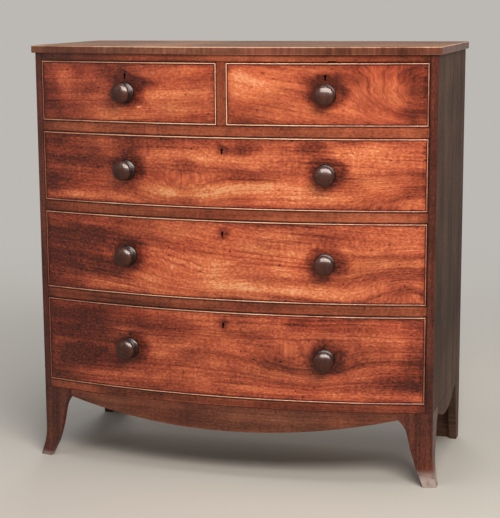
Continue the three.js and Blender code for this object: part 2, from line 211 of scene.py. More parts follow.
# %% Measure the arc
side_low, side_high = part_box("side_left")
rail_low, rail_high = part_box("rail_upper")
bow_half = -side_high.x
bow_rise = side_low.y - rail_low.y
bow_radius = (bow_half ** 2 + bow_rise ** 2) / (2 * bow_rise)
bow_centre = rail_low.y + bow_radius
print("bow radius", round(bow_radius, 4), "m, rise over the opening", round(bow_rise, 4), "m")


def bow(x, depth=0.0):
    """The y of a point that lies depth behind the bowed face."""
    return bow_centre - math.sqrt((bow_radius - depth) ** 2 - x * x)


# %% Cut a flat shape into strips, and bend it
STRIP = 9 * MM
ROUGH_DEPTH = 100 * MM  # of a board whose rear face isn't in its place yet


def cut(bm, at, axis=0):
    """Cuts the whole shape with a plane across one axis."""
    across = Vector((0, 0, 0))
    across[axis] = 1
    bmesh.ops.bisect_plane(bm, geom=bm.verts[:] + bm.edges[:] + bm.faces[:],
                           plane_co=across * at, plane_no=across)


def slice_across(bm, start, end, step=STRIP, axis=0):
    """Cuts the whole shape into strips that are about one step wide."""
    count = max(1, round((end - start) / step))
    for i in range(1, count):
        cut(bm, start + (end - start) * i / count, axis)


def bend(bm, straight=None):
    """Moves each point onto the bow. With straight given, the rear face goes to that y."""
    for v in bm.verts:
        if straight is not None and v.co.y > ROUGH_DEPTH / 2:
            v.co.y = straight
        else:
            v.co.y = bow(v.co.x, v.co.y)


# %% A block with given corners
def block(low, high):
    """A bmesh box between two corners."""
    bm = bmesh.new()
    bmesh.ops.create_cube(bm, size=1)
    size = Vector(high) - Vector(low)
    bmesh.ops.scale(bm, vec=size, verts=bm.verts)
    bmesh.ops.translate(bm, vec=(Vector(low) + Vector(high)) / 2, verts=bm.verts)
    return bm


# %% Cut one shape from another
def take_away(bm, tool):
    """A Boolean modifier takes the tool's solid from the shape. Both helpers are then removed."""
    helpers = []
    for shape in (bm, tool):
        mesh = bpy.data.meshes.new("helper")
        shape.to_mesh(mesh)
        shape.free()
        helpers.append(bpy.data.objects.new("helper", mesh))
        bpy.context.collection.objects.link(helpers[-1])
    work = helpers[0].modifiers.new("cut", "BOOLEAN")
    work.operation = "DIFFERENCE"
    work.object = helpers[1]
    work.solver = "EXACT"
    result = bmesh.new()
    result.from_object(helpers[0], bpy.context.evaluated_depsgraph_get())
    for helper in helpers:
        mesh = helper.data
        bpy.data.objects.remove(helper)
        bpy.data.meshes.remove(mesh)
    return result


# %% Turn a bmesh into a named piece of the chest
made_pieces = []


def piece(name, bm, body, materials, replaces, arris=0.0, steps=2, smooth=34):
    """Shades the shape, softens its arrises, and lets it ride on its body in place of its nodes."""
    bmesh.ops.recalc_face_normals(bm, faces=bm.faces)
    sharp = math.radians(smooth)
    for f in bm.faces:
        f.smooth = True
    for e in bm.edges:
        e.smooth = len(e.link_faces) == 2 and e.calc_face_angle() < sharp
    mesh = bpy.data.meshes.new(name)
    bm.to_mesh(mesh)
    bm.free()
    for m in materials:
        mesh.materials.append(m.material)
    made = bpy.data.objects.new(name, mesh)
    bpy.context.collection.objects.link(made)
    if arris:
        soft = made.modifiers.new("soft_arris", "BEVEL")
        soft.width = arris
        soft.segments = steps
        soft.limit_method = "ANGLE"
        soft.angle_limit = math.radians(40)
        soft.harden_normals = True
    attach(made, body)
    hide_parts(*replaces)
    made_pieces.append(made)
    return made


# %% [markdown]
# ## Wood, as arithmetic on fields
#
# A shader node gives a number at every point of a surface. Such nodes can be laid out by hand in the
# shader editor, but this wood needs more than a hundred. The small class below lets their numbers be
# added and multiplied like ordinary ones, and each sum puts a Math node into the material. The wood
# is then written as a carpenter would tell it: bands and streaks that wander, fine fibres, short
# dark pores, upright mottle that catches light, and the dirt and wear of two centuries.

# %% Fields
class Field:
    """A number that changes over a surface. It stands for one output of a node."""

    def __init__(self, socket):
        self.socket = socket

    def sum(self, operation, *others):
        """Puts a Math node after this field. The others are fields or plain numbers."""
        step = self.socket.id_data.nodes.new("ShaderNodeMath")
        step.operation = operation
        for value, pin in zip((self, *others), step.inputs):
            plug(value, pin)
        return Field(step.outputs[0])

    def __add__(self, other):
        return self.sum("ADD", other)

    def __sub__(self, other):
        return self.sum("SUBTRACT", other)

    def __mul__(self, other):
        return self.sum("MULTIPLY", other)

    __radd__ = __add__

    def __rsub__(self, other):
        return self * -1 + other

    def size(self):
        return self.sum("ABSOLUTE")

    def root(self):
        return self.sum("SQRT")

    def least(self, other):
        return self.sum("MINIMUM", other)

    def most(self, other):
        return self.sum("MAXIMUM", other)

    def step(self, low, high):
        """0 below low, 1 above high, and a smooth rise between. With low above high it falls."""
        node = self.socket.id_data.nodes.new("ShaderNodeMapRange")
        node.interpolation_type = "SMOOTHSTEP"
        flip = low > high
        plug(self, node.inputs["Value"])
        node.inputs["From Min"].default_value = min(low, high)
        node.inputs["From Max"].default_value = max(low, high)
        node.inputs["To Min"].default_value = float(flip)
        node.inputs["To Max"].default_value = float(not flip)
        return Field(node.outputs[0])


def plug(value, pin):
    """Links a field to an input, or writes a plain value there."""
    if isinstance(value, Field):
        pin.id_data.links.new(value.socket, pin)
    else:
        pin.default_value = value


# %% Finishes
class Finish:
    """A material that is being built, with this piece's own coordinates in metres."""

    def __init__(self, name):
        self.material = bpy.data.materials.new(name)
        self.material.use_nodes = True
        self.tree = self.material.node_tree
        self.shader = self.tree.nodes["Principled BSDF"]
        place = self.tree.nodes.new("ShaderNodeTexCoord").outputs["Object"]
        split = self.tree.nodes.new("ShaderNodeSeparateXYZ")
        self.tree.links.new(place, split.inputs[0])
        self.x, self.y, self.z = (Field(s) for s in split.outputs)
        arc = (bow_radius ** 2 - self.x * self.x).root()
        self.depth = self.y - bow_centre + arc
        self.waver(0.05, 16)

    def point(self, x, y, z):
        join = self.tree.nodes.new("ShaderNodeCombineXYZ")
        for value, pin in zip((x, y, z), join.inputs):
            plug(value, pin)
        return Field(join.outputs[0])

    def noise(self, x, y, z, detail=2.0, rough=0.5):
        """Cloudy noise, 0 to 1 with a middle of 0.5. The inputs set its scale."""
        node = self.tree.nodes.new("ShaderNodeTexNoise")
        node.inputs["Scale"].default_value = 1
        node.inputs["Detail"].default_value = detail
        node.inputs["Roughness"].default_value = rough
        plug(self.point(x, y, z), node.inputs["Vector"])
        return Field(node.outputs[0])

    def ramp(self, field, stops):
        """Turns a number into a colour, by a list of (place, colour)."""
        node = self.tree.nodes.new("ShaderNodeValToRGB")
        plug(field, node.inputs[0])
        ramp = node.color_ramp
        while len(ramp.elements) < len(stops):
            ramp.elements.new(1)
        for mark, (at, colour) in zip(ramp.elements, stops):
            mark.position = at
            mark.color = tint(*colour)
        return Field(node.outputs[0])

    def blend(self, share, under, over, way="MIX"):
        """Lays one colour over another."""
        node = self.tree.nodes.new("ShaderNodeMix")
        node.data_type = "RGBA"
        node.blend_type = way
        plug(share, node.inputs[0])
        plug(under, node.inputs[6])
        plug(over, node.inputs[7])
        return Field(node.outputs[2])

    def waver(self, amount, scale):
        """Shifts the places of later spots by a noise, so that their outlines are ragged."""
        push_x = (self.noise(self.x * scale, 0, self.z * scale * 1.8, 3) - 0.5) * amount
        push_z = (self.noise(self.x * scale, 7, self.z * scale * 1.8, 3) - 0.5) * amount * 0.6
        self.wavering = self.point(self.x + push_x, 0, self.z + push_z)

    def spot(self, x, z, wide, tall):
        """A soft ragged patch in the x-z plane: 1 at its middle, 0 at its edge."""
        place = self.tree.nodes.new("ShaderNodeMapping")
        plug(self.wavering, place.inputs["Vector"])
        place.inputs["Scale"].default_value = (1 / wide, 0, 1 / tall)
        place.inputs["Location"].default_value = (-x / wide, 0, -z / tall)
        ball = self.tree.nodes.new("ShaderNodeTexGradient")
        ball.gradient_type = "SPHERICAL"
        self.tree.links.new(place.outputs[0], ball.inputs[0])
        return Field(ball.outputs["Fac"])

    def set(self, **sockets):
        """Writes or links the shader's inputs. Spaces in their names are written as _."""
        for name, value in sockets.items():
            plug(value, self.shader.inputs[name.replace("_", " ")])
        return self

    def bump(self, height, depth):
        """Raises the surface by height times depth, in metres."""
        node = self.tree.nodes.new("ShaderNodeBump")
        node.inputs["Strength"].default_value = 1
        node.inputs["Distance"].default_value = depth
        plug(height, node.inputs["Height"])
        plug(Field(node.outputs[0]), self.shader.inputs["Normal"])
        return self


# %% [markdown]
# ## Mahogany
#
# One recipe makes all the mahogany. A photograph of a board would give the colours at once, but it
# would stop at every edge, and noise goes right through a piece. Two letters name the directions along
# and across the grain. The streaks are noise that is stretched a lot along the grain, on a line that
# wanders slowly and bulges round knots. The tone is a number from dark to light, and a ramp of colours
# that were judged turns it into wood. Old polish has sunk in, so the wood mirrors little, and pores
# and wear dull it.

# %% Colours of drawers and case, from dark to light
TONES = (0.05, 0.25, 0.45, 0.65, 0.85, 1.0)
DRAWER_COLOURS = ((48, 17, 10), (101, 41, 26), (150, 66, 43), (195, 97, 64), (229, 132, 84),
                  (247, 176, 128))
RAIL_COLOURS = ((34, 14, 8), (84, 37, 22), (136, 66, 41), (182, 97, 65), (216, 136, 96),
                (236, 170, 126))
STILE_COLOURS = ((28, 11, 7), (59, 26, 18), (95, 46, 32), (131, 68, 48), (162, 94, 68),
                 (188, 126, 96))
CASE_COLOURS = ((30, 13, 8), (62, 30, 20), (96, 51, 35), (130, 74, 51), (162, 102, 74),
                (188, 133, 100))
# the sides' colours: dark grey-brown, partly their own and partly painted shade and a painted
# reflection of a grey wall
SIDE_COLOURS_WITH_SHADE = ((30, 18, 13), (52, 35, 27), (77, 55, 43), (104, 77, 62), (130, 101, 84),
                (156, 127, 108))
print("tones in each list of colours:", len(TONES))


# %% The mahogany recipe
def mahogany(name, colours, seed, grain="xz", streak=7 * MM, wander=0.03, slope=0.0, contrast=1.0,
             mottle=0.3, knots=(), shade=None, tone=0.5, rough=0.4, shine=0.3, coat=0.08):
    """Polished mahogany. shade(finish) gives a field that is added to the tone."""
    # the line that the figure follows, which is not quite straight
    f = Finish(name)
    axes = {"x": f.x, "y": f.y, "z": f.z}
    length, across = (axes.pop(letter) for letter in grain)
    through = f.depth if "y" in axes else next(iter(axes.values()))
    slow = f.noise(length * 1.7, across * 4.5, through * 4 + seed, 2) - 0.5
    ripple = f.noise(length * 24, across * 34, seed + 1, 2) - 0.5
    line = across + length * slope + slow * wander + ripple * (5 * MM)
    for x, z, wide, tall, push in knots:
        line = line + f.spot(x, z, wide, tall).step(0, 1) * push
    # the figure along that line, from broad to fine
    bands = f.noise(length * 1.5, line * (0.2 / streak), through * 9 + seed, 3, 0.55) - 0.5
    streaks = f.noise(length * 5, line * (1 / streak), through * 20 + seed, 3, 0.6) - 0.5
    fibres = f.noise(length * 30, line * (5 / streak), through * 60 + seed, 2, 0.6) - 0.5
    lines = f.noise(length * 2.6, line * (1.5 / streak), through * 12 + seed + 31, 2, 0.5)
    lines = lines.step(0.55, 0.68)
    blotches = f.noise(length * 8, line * 19, seed + 3, 3, 0.55) - 0.5
    flecks = f.noise(length * 120, line * 210, seed + 9, 2, 0.6) - 0.5
    # what lies across the grain, and single marks
    weave = length + ripple * (16 * MM)
    uprights = f.noise(weave * 46, across * 24, seed + 5, 3, 0.55) - 0.5
    rain = (f.noise(weave * 190, across * 42, seed + 7, 1, 0.5) - 0.5) * blotches.step(-0.05, 0.15)
    pores = f.noise(length * 110, line * 1300, through * 400 + seed, 1, 0.5).step(0.62, 0.72)
    dents = f.noise(length * 75, across * 95, seed + 13, 1, 0.5).step(0.7, 0.77)
    # all of it added up, in the order of broad tone, mottle and fine marks
    value = (bands * 0.75 + streaks * 0.4 + blotches * 0.6 - lines * 0.15) * contrast + tone + 0.02
    if shade:
        value = value + shade(f)
    value = value.most(0.18) + (uprights * 0.6 + rain * 0.6) * mottle
    value = value + (fibres * 0.2 + flecks * 0.72) * contrast - pores * 0.1 - dents * (0.3 * contrast)
    # the tone becomes a colour, which is redder in some places and browner in others
    colour = f.ramp(value, list(zip(TONES, colours)))
    redness = f.noise(length * 3.5, across * 8, seed + 11, 2).step(0.42, 0.66)
    colour = f.blend(redness * 0.5, colour, tint(244, 208, 204), "MULTIPLY")
    browning = f.noise(length * 5, across * 12, seed + 17, 2).step(0.48, 0.66)
    f.colour = f.blend(browning * 0.3, colour, tint(214, 228, 206), "MULTIPLY")
    f.set(Base_Color=f.colour, Roughness=rough + (0.6 - value) * 0.14 + pores * 0.1,
          Specular_IOR_Level=shine, Coat_Weight=coat, Coat_Roughness=0.15)
    f.bump(fibres * 0.5 + streaks * 0.3 - pores * 1.2, 0.1 * MM)
    return f


# %% [markdown]
# ## The dark case
#
# The case was veneered and stained darker than the drawers. The rails kept some warmth, and the stiles
# and feet are darker. The sides are dark grey-brown, partly their own colour and partly painted shade
# and a painted reflection of a grey wall. Painted shade of the gap round each drawer lies along every
# edge of an opening, and on the rails and stiles the falloff of the light from the upper right is
# painted too. It could be painted on by hand, but a shade function can measure how far a point is from
# the nearest edge, so the painted gap shade follows the openings whatever their sizes.

# %% Painted shade along the openings
RAILS = ("top_rail", "rail_upper", "rail_middle", "rail_lower", "bottom_rail")
PATCH = (-0.178, 0.0165)  # middle and half width of a piece of veneer let into the upper rail
opening_levels = sorted(corner.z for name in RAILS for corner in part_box(name))[1:-1]
print("heights of the openings' edges:", [round(z, 3) for z in opening_levels])


def on_upper_rail(f):
    """1 on the upper rail, 0 elsewhere."""
    return f.z.step(rail_low.z - 1 * MM, rail_low.z) * f.z.step(rail_high.z + 1 * MM, rail_high.z)


def rail_shade(f):
    """Painted gap shade and light falloff, dark joint lines, darker ends, patches and one mended
    place.
    """
    nearest = (f.z - opening_levels[0]).size()
    for level in opening_levels[1:]:
        nearest = nearest.least((f.z - level).size())
    patches = f.noise(f.x * 9, 2, f.z * 12, 3) - 0.5
    # painted light: lighter to the right and higher up, as the light falls from the upper right, with
    # a paler place on the middle rail and a top rail darker towards its ends
    painted_falloff = f.x * 0.13 + (f.z - 0.6) * 0.06 - f.z.step(0.76, 0.66) * 0.04
    painted_falloff = painted_falloff + f.spot(0.24, 0.652, 0.3, 0.04).step(0, 0.7) * 0.12
    painted_falloff = painted_falloff - f.z.step(0.99, 1.0) * (f.x + 0.05).size().step(0.15, 0.35) * 0.2
    ends = f.x.size().step(0.45, 0.484) * -0.14
    joint = (f.z - side_low.z).size().step(2.5 * MM, 0.5 * MM) * -0.25
    patch = (f.x - PATCH[0]).size().step(PATCH[1] + 0.4 * MM, PATCH[1]) * on_upper_rail(f)
    seam = ((f.x - PATCH[0]).size() - PATCH[1]).size().step(1.2 * MM, 0.3 * MM) * on_upper_rail(f)
    # the last term is painted shade of the gaps, along the edges of the openings
    return (patches * 0.35 + painted_falloff + ends + joint + patch * 0.05 - seam * 0.22
            - nearest.step(4 * MM, 0.6 * MM) * 0.34)


# %% Light and dark places on stiles, sides and feet
def stile_shade(f):
    """Painted light falloff on the right stile, darker towards the floor, and painted gap shade along
    the opening.
    """
    on_right = f.x.step(-0.1, 0.1)
    # painted light falloff: the right stile darker, and darker still towards the floor; the left one a
    # little lighter
    low = on_right * (f.z.step(0.6, 0.2) * -0.1 - 0.04) + 0.04
    # painted shade of the gap between the drawers and the stile
    painted_gap_shade = (f.x.size() - bow_half).step(4 * MM, 0.5 * MM) * -0.2
    return low + painted_gap_shade + (f.noise(f.x * 5, f.y * 5, f.z * 9, 3) - 0.5) * 0.35


def slow_patches(f):
    """Slow light and dark patches."""
    return (f.noise(f.x * 5, f.y * 5, f.z * 5, 3) - 0.5) * 0.35


def side_shade(f):
    """Darker lower down as painted shade, where less light comes, and paler near the foot as painted
    floor light.
    """
    return slow_patches(f) + (f.z - 0.72) * 0.2 + f.z.step(0.38, 0.22) * 0.14


# %% Case finishes
rail_wood = mahogany("rail_mahogany", RAIL_COLOURS, 3, streak=4 * MM, mottle=0.4, shade=rail_shade,
                     tone=0.49, contrast=0.6)
stile_wood = mahogany("stile_mahogany", STILE_COLOURS, 8, "zx", shade=stile_shade, tone=0.4,
                      contrast=0.7)
divider_wood = mahogany("divider_mahogany", RAIL_COLOURS, 4, "zx", shade=slow_patches, tone=0.45,
                        contrast=0.6)
shaded_side_wood = mahogany("shaded_side_mahogany", SIDE_COLOURS_WITH_SHADE, 14, "zy", streak=9 * MM, contrast=0.6,
                     mottle=0.15, shade=side_shade, rough=0.6, shine=0.16, coat=0.0)
apron_wood = mahogany("apron_mahogany", CASE_COLOURS, 21, streak=5 * MM, shade=slow_patches,
                      tone=0.5, contrast=0.7)
foot_wood = mahogany("foot_mahogany", STILE_COLOURS, 23, "zx", streak=5 * MM, shade=slow_patches,
                     tone=0.38, contrast=0.8)
print("the rails' finish has", len(rail_wood.tree.nodes), "nodes")


# %% Pale toes: wear on both, and on the right one also a painted highlight
RIGHT_PALE_HEIGHT = 46 * MM  # how high the wear and the painted highlight reach
LEFT_WORN = 14 * MM


def toe_wear_and_highlight(f):
    """Pales the front feet's lowest part where brooms scuff it, with a painted highlight on the right
    toe's flare.
    """
    right_toe = f.x.step(0, 0.1)
    pale_share = f.z.step(RIGHT_PALE_HEIGHT, 14 * MM) * right_toe
    pale_share = pale_share + f.z.step(LEFT_WORN, 4 * MM) * (1 - right_toe) * 0.5
    patchiness = f.noise(f.x * 60, f.y * 60, f.z * 90, 3).step(0.0, 0.55)
    f.set(Base_Color=f.blend(pale_share * patchiness * 0.8, f.colour, tint(196, 178, 170)))


toe_wear_and_highlight(foot_wood)
print("the front feet's finish has", len(foot_wood.tree.nodes), "nodes")


# %% Finishes of the top
def arris_wear_and_highlight(f):
    """Wear and a painted highlight on the top's upper arris all along, and on the lower one on the
    right.
    """
    low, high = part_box("top")
    inwards = (f.depth + (rail_low.y - low.y)).least(high.x - f.x.size())
    upper = (high.z - f.z).most(inwards).step(2.6 * MM, 1.2 * MM) * 0.5
    lower = (f.z - low.z).step(2.4 * MM, 1 * MM) * f.x.step(-0.15, 0.0) * 0.3
    return upper + lower + f.spot(-0.18, high.z, 0.14, 0.1).step(0, 0.8) * 0.12


# paler and greyer than the front's colours, partly as a painted reflection of the room that the
# polished top shows at a low angle
TOP_COLOURS = ((48, 22, 14), (82, 46, 27), (118, 72, 42), (150, 100, 62), (184, 134, 96),
               (216, 176, 142))
EDGE_COLOURS = ((44, 20, 13), (80, 41, 28), (114, 65, 47), (146, 92, 68), (186, 132, 106),
                (232, 190, 166))
top_wood = mahogany("top_mahogany", TOP_COLOURS, 27, "xy", streak=8 * MM, wander=0.06, tone=0.47,
                    rough=0.42, shine=0.42, coat=0.0, shade=arris_wear_and_highlight)
edge_wood = mahogany("top_edge", EDGE_COLOURS, 27, "xy", streak=8 * MM, wander=0.06, tone=0.445,
                     contrast=0.7, shade=arris_wear_and_highlight)
print("finishes of the top:", top_wood.material.name, "and", edge_wood.material.name)


# %% Unpolished wood
def plain_wood(name, colours, seed, grain, streak, contrast, rough, joints=None):
    """Unpolished wood that has only darkened with age. joints(f, colour) may draw joints on it."""
    f = Finish(name)
    length, across = {"x": (f.x, f.y + f.z), "y": (f.y, f.x + f.z), "z": (f.z, f.x + f.y)}[grain]
    slow = f.noise(length * 1.6, across * 5, seed, 2) - 0.5
    line = across + slow * 0.05
    streaks = f.noise(length * 3, line * (1 / streak), seed, 4, 0.6)
    fibres = f.noise(length * 24, line * (6 / streak), seed, 2, 0.6)
    stains = f.noise(f.x * 6, f.y * 6, f.z * 6 + seed, 3, 0.6)
    value = (streaks - 0.5) * contrast + (fibres - 0.5) * 0.4 + (stains - 0.5) * 0.7 + 0.5
    colour = f.ramp(value, list(zip((0.1, 0.4, 0.65, 0.95), colours)))
    if joints:
        colour = joints(f, colour)
    f.set(Base_Color=colour, Roughness=rough + (value - 0.5) * 0.1, Specular_IOR_Level=0.25)
    f.bump(fibres + streaks * 0.6, 0.2 * MM)
    return f


# %% Oak, pine and iron
OAK_COLOURS = ((84, 58, 34), (132, 96, 58), (162, 124, 80), (190, 154, 108))
PINE_COLOURS = ((72, 50, 32), (118, 86, 54), (150, 114, 74), (178, 144, 100))
oak_across = plain_wood("oak_across", OAK_COLOURS, 6, "x", 4 * MM, 0.8, 0.62)
pine = plain_wood("pine_board", PINE_COLOURS, 9, "x", 9 * MM, 1.0, 0.7)
pine_backs = [plain_wood("pine_back_" + str(i), PINE_COLOURS, 40 + 7 * i, "z", 9 * MM, 1.0, 0.75)
              for i in range(3)]
iron = Finish("iron_nail")
rust = iron.noise(iron.x * 400, iron.y * 400, iron.z * 400, 3)
iron.set(Base_Color=iron.ramp(rust, [(0.3, (28, 22, 20)), (0.7, (74, 44, 30))]), Metallic=0.6,
         Roughness=rust * 0.3 + 0.5)
iron.bump(rust, 0.1 * MM)
print("plain finishes:", [f.material.name for f in (oak_across, pine, *pine_backs, iron)])

# %% [markdown]
# ## The top
#
# The top is a thin flat board that stands 8 mm proud of the case. Its front follows the bow, and its
# arrises are softened by wear; the light they catch is painted on as two thin pale lines, which are
# both wear and a painted highlight. It could be a curve with a bevel, but a block that is sliced and
# bent keeps the same steps as every other front piece.

# %% Top board
low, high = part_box("top")
lip = rail_low.y - low.y
slab = block((low.x, -lip, low.z), (high.x, ROUGH_DEPTH, high.z))
slice_across(slab, low.x, high.x)
bend(slab, straight=high.y)
for f in slab.faces:
    f.material_index = 0 if abs(f.calc_center_median().z - high.z) < 0.1 * MM else 1
piece("top_board", slab, "case", [top_wood, edge_wood], ["top"], arris=2 * MM,
      steps=3)
print("top board", round((high.x - low.x) / MM), "mm wide, lip", round(lip / MM, 1), "mm")

# %% [markdown]
# ## Sides, divider and rails
#
# The front edges of the sides are the dark stiles. A side could be a block with its rebate cut away,
# but one outline, seen from above, already holds the rebate for the back boards and the slant of the
# front edge, so it is drawn and pushed up to the side's height. The rails run between the sides and
# are cut on the bow. The top rail has a small notch for the bolt of the right lock.

# %% Pull faces out, and push an outline up
def pull_out(bm, faces, by, keep=False):
    """Extrudes faces and moves the new ones. The old ones stay only where they close the shape."""
    grown = bmesh.ops.extrude_face_region(bm, geom=faces)
    if not keep:
        bmesh.ops.delete(bm, geom=faces, context="FACES_ONLY")
    moved = [g for g in grown["geom"] if isinstance(g, bmesh.types.BMVert)]
    bmesh.ops.translate(bm, vec=by, verts=moved)
    return moved


def push_up(outline, floor_z, ceiling_z):
    """An upright prism over an outline of (x, y) points."""
    bm = bmesh.new()
    ring = bm.faces.new([bm.verts.new((x, y, floor_z)) for x, y in outline])
    pull_out(bm, [ring], (0, 0, ceiling_z - floor_z), keep=True)
    return bm


# %% Sides
SIDE_BAND = 120 * MM  # a side is cut into level bands, so that none of its faces is very long
back_low, back_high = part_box("back")
for hand, name in ((-1, "side_left"), (1, "side_right")):
    low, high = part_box(name)
    inner, outer = (low.x, high.x) if hand > 0 else (high.x, low.x)
    rebate = hand * back_high.x
    outline = [(outer, bow(outer)), (outer, high.y), (rebate, high.y), (rebate, back_low.y),
               (inner, back_low.y), (inner, bow(inner))]
    shape = push_up(outline, low.z, high.z)
    slice_across(shape, low.z, high.z, SIDE_BAND, axis=2)
    for f in shape.faces:
        front = f.calc_center_median().y < bow(outer) + 1 * MM and abs(f.normal.y) > 0.5
        f.material_index = 1 if front else 0
    piece("case_" + name, shape, "case", [shaded_side_wood, stile_wood], [name],
          arris=1.4 * MM, steps=3)
print("a side is", round((side_high.x - side_low.x) / MM), "mm thick")

# %% Rails and divider
BOLT_NOTCH = (0.2515, 0.2715)
NOTCH_DEEP = 12 * MM
NOTCH_TALL = 3.5 * MM
for name in (*RAILS, "divider"):
    low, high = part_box(name)
    shape = block((low.x, 0, low.z), (high.x, ROUGH_DEPTH, high.z))
    if name == "top_rail":
        shape = take_away(shape, block((BOLT_NOTCH[0], -NOTCH_DEEP, low.z - NOTCH_DEEP),
                                       (BOLT_NOTCH[1], NOTCH_DEEP, low.z + NOTCH_TALL)))
    slice_across(shape, low.x, high.x)
    bend(shape, straight=high.y)
    wood = divider_wood if name == "divider" else rail_wood
    piece("bowed_" + name, shape, "case", [wood], [name], arris=0.5 * MM)
print("a rail follows the bow in", round((rail_high.x - rail_low.x) / STRIP), "strips")

# %% [markdown]
# ## Apron and bracket feet
#
# The apron dips in a shallow curve, and the front feet sweep down to a narrow toe that turns out and
# forwards at the floor. A foot could be a curve that is filled and given thickness. Here it grows
# level by level instead: one outline, seen from above, is pushed down in small steps, and each step
# is narrower or turned out a little. One list of steps then serves all four feet.

# %% Front apron
foot_low, foot_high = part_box("foot_front_right")
apron_low, apron_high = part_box("apron_front")
APRON_END = 17 * MM
BRACKET = 20 * MM


def apron_edge(share, lowest, ceiling):
    """The apron's lower edge: lowest in the middle, 17 mm below the case at its ends."""
    end = ceiling - APRON_END
    return end - (end - lowest) * (1 - share * share)


shape = block((apron_low.x, 0, apron_low.z), (apron_high.x, BRACKET, apron_high.z))
slice_across(shape, apron_low.x, apron_high.x)
for v in shape.verts:
    if v.co.z < apron_high.z - 1 * MM:
        v.co.z = apron_edge(v.co.x / apron_high.x, apron_low.z, apron_high.z)
bend(shape)
piece("front_apron", shape, "case", [apron_wood], ["apron_front"], arris=1 * MM,
      steps=3)
print("the front apron dips", round((apron_high.z - apron_low.z) / MM), "mm below the case")

# %% Side aprons
side_apron_low, side_apron_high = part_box("apron_right")
middle_y = (side_apron_low.y + side_apron_high.y) / 2
half_y = (side_apron_high.y - side_apron_low.y) / 2
for hand, name in ((-1, "apron_left"), (1, "apron_right")):
    low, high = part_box(name)
    shape = block(low, high)
    slice_across(shape, low.y, high.y, 12 * MM, axis=1)
    for v in shape.verts:
        if v.co.z < high.z - 1 * MM:
            v.co.z = apron_edge((v.co.y - middle_y) / half_y, low.z, high.z)
    piece("side_" + name, shape, "case", [shaded_side_wood], [name], arris=1 * MM,
          steps=3)
print("a side apron is", round(2 * half_y / MM), "mm long")

# %% Foot levels
# (height, width, turned out), each a share of the foot's curve height, top width and flare
FOOT_LEVELS = ((1, 1, 0), (0.935, 0.89, 0), (0.865, 0.8, 0), (0.8, 0.755, 0), (0.66, 0.69, 0),
               (0.53, 0.635, 0), (0.42, 0.57, 0), (0.33, 0.515, 0.07), (0.25, 0.46, 0.2),
               (0.18, 0.4, 0.38), (0.11, 0.335, 0.6), (0.04, 0.27, 0.86), (0, 0.25, 1))


def smooth_levels(levels, parts):
    """Puts more levels between the given ones, on a smooth curve through them."""
    curve = []
    for i in range(len(levels) - 1):
        a, b, c, d = (levels[max(0, min(len(levels) - 1, i + k))] for k in (-1, 0, 1, 2))
        for j in range(parts):
            t = j / parts
            curve.append(tuple(
                0.5 * (2 * q + (r - p) * t + (2 * p - 5 * q + 4 * r - s) * t * t
                       + (3 * q - p - 3 * r + s) * t ** 3)
                for p, q, r, s in zip(a, b, c, d)))
    return curve + [levels[-1]]


def grow_down(rings):
    """Pushes the first ring's face down from level to level."""
    bm = bmesh.new()
    face = bm.faces.new([bm.verts.new(p) for p in rings[0]])
    for ring in rings[1:]:
        before = [v.co.copy() for v in face.verts]
        grown = bmesh.ops.extrude_face_region(bm, geom=[face])
        old, face = face, next(g for g in grown["geom"] if isinstance(g, bmesh.types.BMFace))
        # each new corner starts where an old one was, which tells its place in the ring
        order = {tuple(round(c, 7) for c in p): i for i, p in enumerate(before)}
        for v in list(face.verts):
            v.co = ring[order[tuple(round(c, 7) for c in v.co)]]
        if ring is not rings[1]:  # the first face stays, because it closes the foot above
            bmesh.ops.delete(bm, geom=[old], context="FACES_ONLY")
    return bm


# %% Foot sizes
GLUE_BLOCK = 24 * MM
REAR_TOE = 68 * MM
top_z = foot_high.z
curve_z = top_z - APRON_END
side_line = -side_low.x
foot_wide = side_line - foot_low.x
flare = foot_high.x - side_line
corner_y = bow(side_line)
foot_deep = foot_high.y - corner_y
rear_low, rear_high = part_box("foot_rear_right")
rear_wide = rear_high.x - rear_low.x
rear_deep = rear_high.y - rear_low.y
print("front foot", round(foot_wide / MM), "mm wide, turned out", round(flare / MM, 1), "mm")

# %% One level of a foot
FRONT_POINTS = 9


def front_ring(hand, z, wide, deep, out, glue):
    """One level of a front foot: round the outside corner, then back along the inside."""
    outer = side_line + out
    inner = outer - BRACKET
    tip = side_line - wide
    inset = BRACKET - out
    ring = [(outer, corner_y + deep)]
    for i in range(FRONT_POINTS):
        x = outer + (tip - outer) * i / (FRONT_POINTS - 1)
        ring.append((x, bow(x, -out)))
    ring += [(tip, bow(tip, inset)), (inner - glue, bow(inner - glue, inset)),
             (inner, bow(inner, inset) + glue), (inner, corner_y + deep)]
    return [Vector((hand * x, y, z)) for x, y in ring]


def rear_ring(hand, z, wide, deep, glue):
    """One level of a rear foot, whose back bracket is plain and straight."""
    inner = side_line - BRACKET
    face = rear_high.y - BRACKET
    ring = [(side_line, rear_high.y - deep), (side_line, rear_high.y),
            (side_line - wide, rear_high.y), (side_line - wide, face), (inner - glue, face),
            (inner, face - glue), (inner, rear_high.y - deep)]
    return [Vector((hand * x, y, z)) for x, y in ring]


# %% Feet
for hand, word in ((-1, "left"), (1, "right")):
    levels = smooth_levels(FOOT_LEVELS, 3)
    rings = [front_ring(hand, top_z, foot_wide, foot_deep, 0, GLUE_BLOCK)]
    rings += [front_ring(hand, height * curve_z, share * foot_wide, share * foot_deep,
                         out * flare, share * GLUE_BLOCK) for height, share, out in levels]
    piece("front_foot_" + word, grow_down(rings), "case", [foot_wood],
          ["foot_front_" + word], arris=1.2 * MM)
    rings = [rear_ring(hand, top_z, rear_wide, rear_deep, GLUE_BLOCK)]
    for height, share, out in levels:
        z = height * curve_z
        wide = REAR_TOE + (rear_wide - REAR_TOE) * z / top_z
        rings.append(rear_ring(hand, z, wide, BRACKET + share * (rear_deep - BRACKET),
                               share * GLUE_BLOCK / 2))
    piece("rear_foot_" + word, grow_down(rings), "case", [shaded_side_wood],
          ["foot_rear_" + word], arris=1 * MM)
print("levels in a foot:", len(rings))
